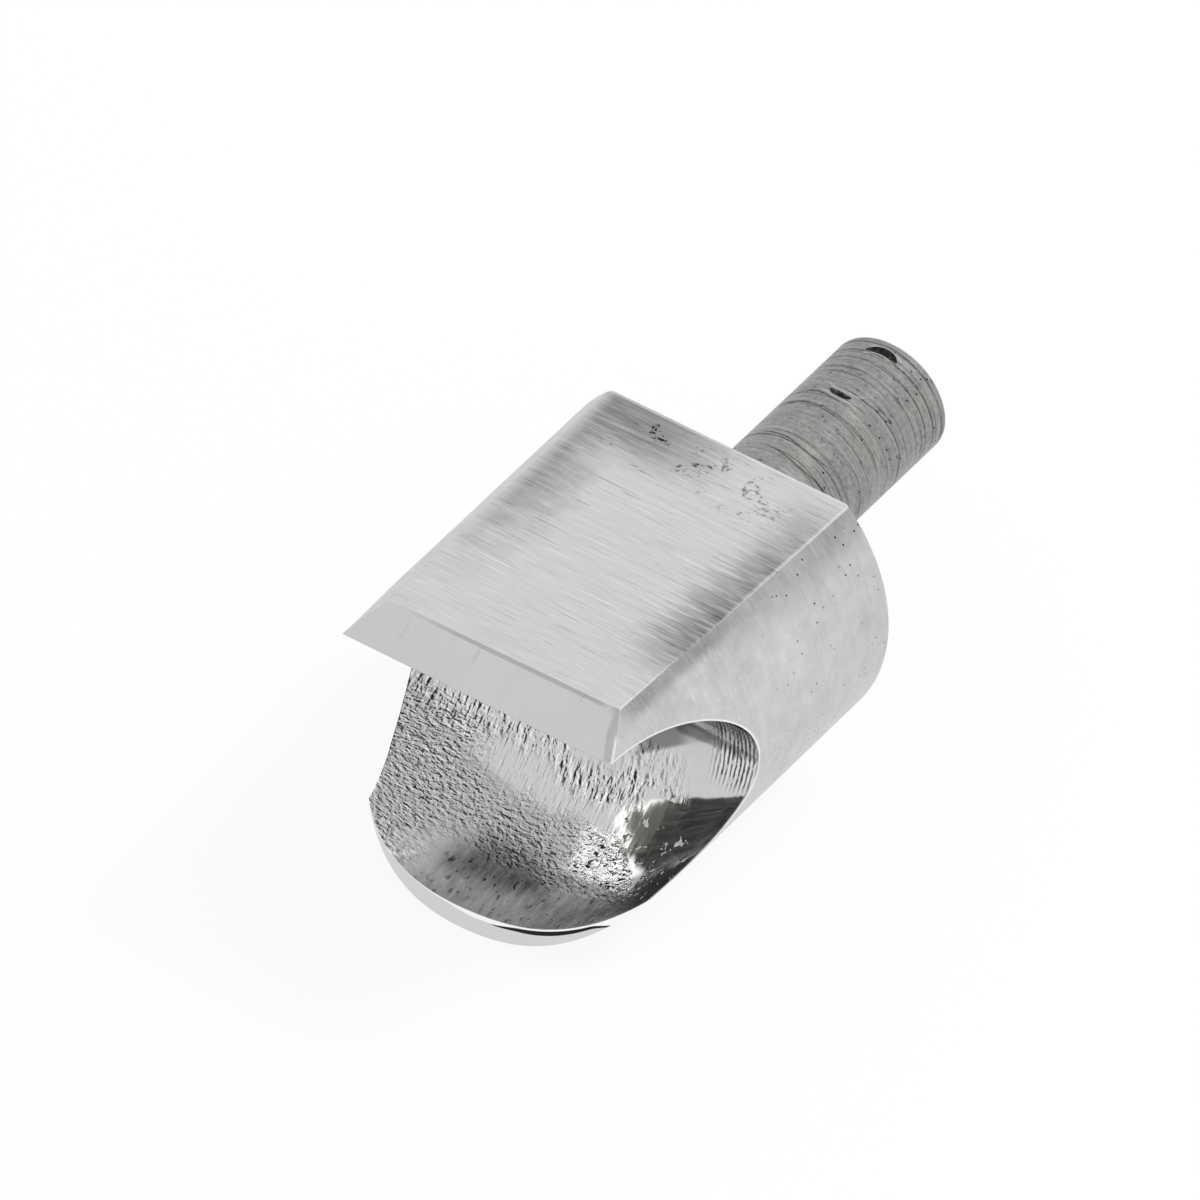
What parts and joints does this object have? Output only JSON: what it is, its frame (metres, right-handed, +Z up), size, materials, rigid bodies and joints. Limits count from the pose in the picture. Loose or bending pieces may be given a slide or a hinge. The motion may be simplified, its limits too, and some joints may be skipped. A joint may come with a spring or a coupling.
{
  "type": "lino cutter head",
  "caption": "Solid steel cutter head with a ground flat top, a straight polished cutting edge over an open throat and a hollow thumb-shaped lip, and a plain round shank for a handle.",
  "frame": {"origin": "centre of the shank's free end face", "axes": "+Y along the shank's axis, out of its free end; +Z up out of the ground flat; the head lies towards -Y"},
  "size_m": [0.0184, 0.0342, 0.0161],
  "materials": {
    "ground_steel": "ground steel: brushed across the flat top, satin round the sides, mirror polish on the front bevel and in the throat",
    "turned_steel": "darker turned steel with fine rings round it and small pits"
  },
  "bodies": {
    "root": {"cutter_body": "ground_steel", "shank": "turned_steel"}
  },
  "joints": []
}
